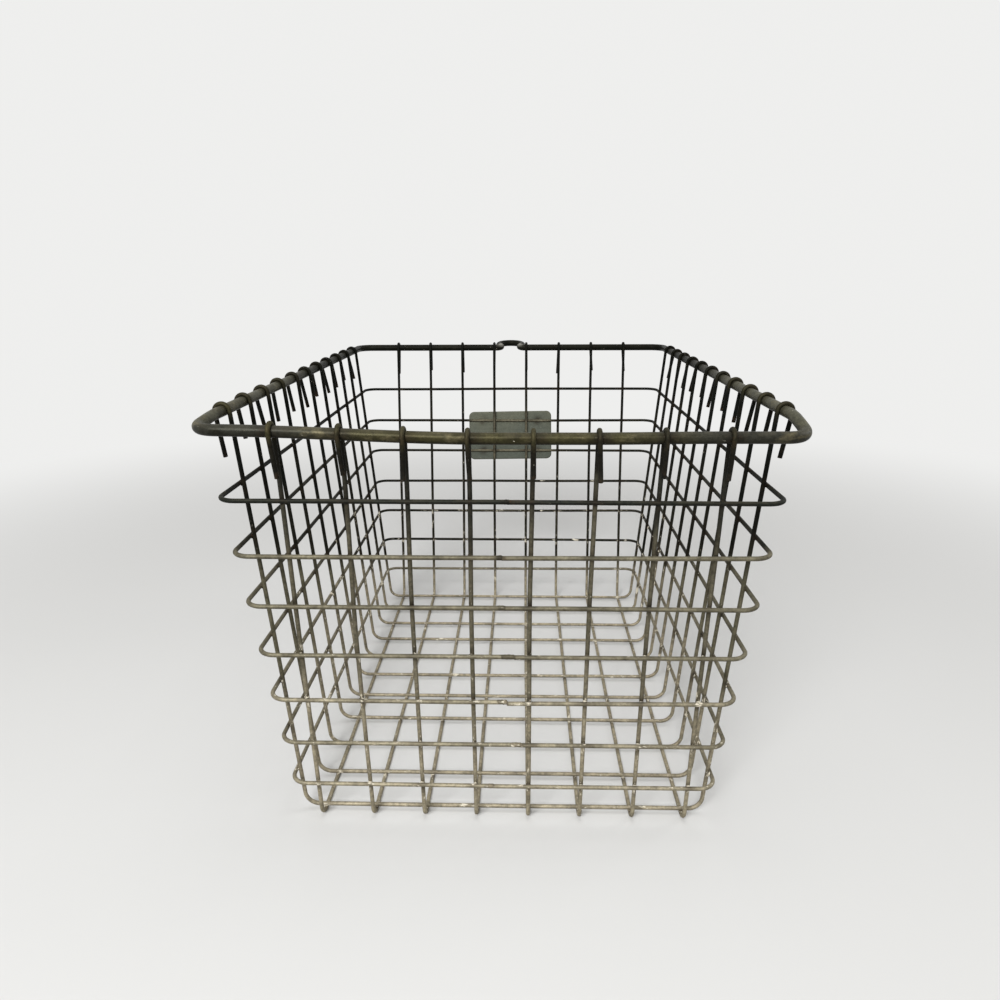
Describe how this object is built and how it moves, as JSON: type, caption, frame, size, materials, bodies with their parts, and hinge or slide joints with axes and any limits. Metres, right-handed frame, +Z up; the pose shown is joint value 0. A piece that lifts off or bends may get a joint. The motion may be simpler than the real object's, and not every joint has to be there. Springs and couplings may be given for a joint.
{
  "type": "wire locker basket",
  "caption": "Open-topped welded wire basket that tapers to its floor, with a thick wire rim, hooked-over mesh wires, outer girth rings, a padlock eye and a bare number plate.",
  "frame": {"origin": "middle of the basket's floor, in the plane that it stands on", "axes": "+X to the right seen from the plain front, +Y to the back, where the padlock eye and the number plate are, +Z up"},
  "size_m": [0.2474, 0.3469, 0.2067],
  "materials": {
    "rim_wire": "aged zinc plate gone dark olive brown, soft sheen",
    "mesh_wire": "aged zinc plate, grey to beige, dark where handled, pale specks at the welds",
    "ring_wire": "aged zinc plate, grey to beige, pale specks at the welds",
    "plate_sheet": "aged zinc plate on thin sheet, dull"
  },
  "bodies": {
    "root": {"rim": "rim_wire", "long_wire_1": "mesh_wire", "long_wire_2": "mesh_wire", "long_wire_3": "mesh_wire", "long_wire_4": "mesh_wire", "long_wire_5": "mesh_wire", "long_wire_6": "mesh_wire", "long_wire_7": "mesh_wire", "long_wire_8": "mesh_wire", "cross_wire_1": "mesh_wire", "cross_wire_2": "mesh_wire", "cross_wire_3": "mesh_wire", "cross_wire_4": "mesh_wire", "cross_wire_5": "mesh_wire", "cross_wire_6": "mesh_wire", "cross_wire_7": "mesh_wire", "cross_wire_8": "mesh_wire", "cross_wire_9": "mesh_wire", "cross_wire_10": "mesh_wire", "cross_wire_11": "mesh_wire", "ring_1": "ring_wire", "ring_2": "ring_wire", "ring_3": "ring_wire", "ring_4": "ring_wire", "ring_5": "ring_wire", "ring_6": "ring_wire", "ring_7": "ring_wire", "number_plate": "plate_sheet"}
  },
  "joints": []
}
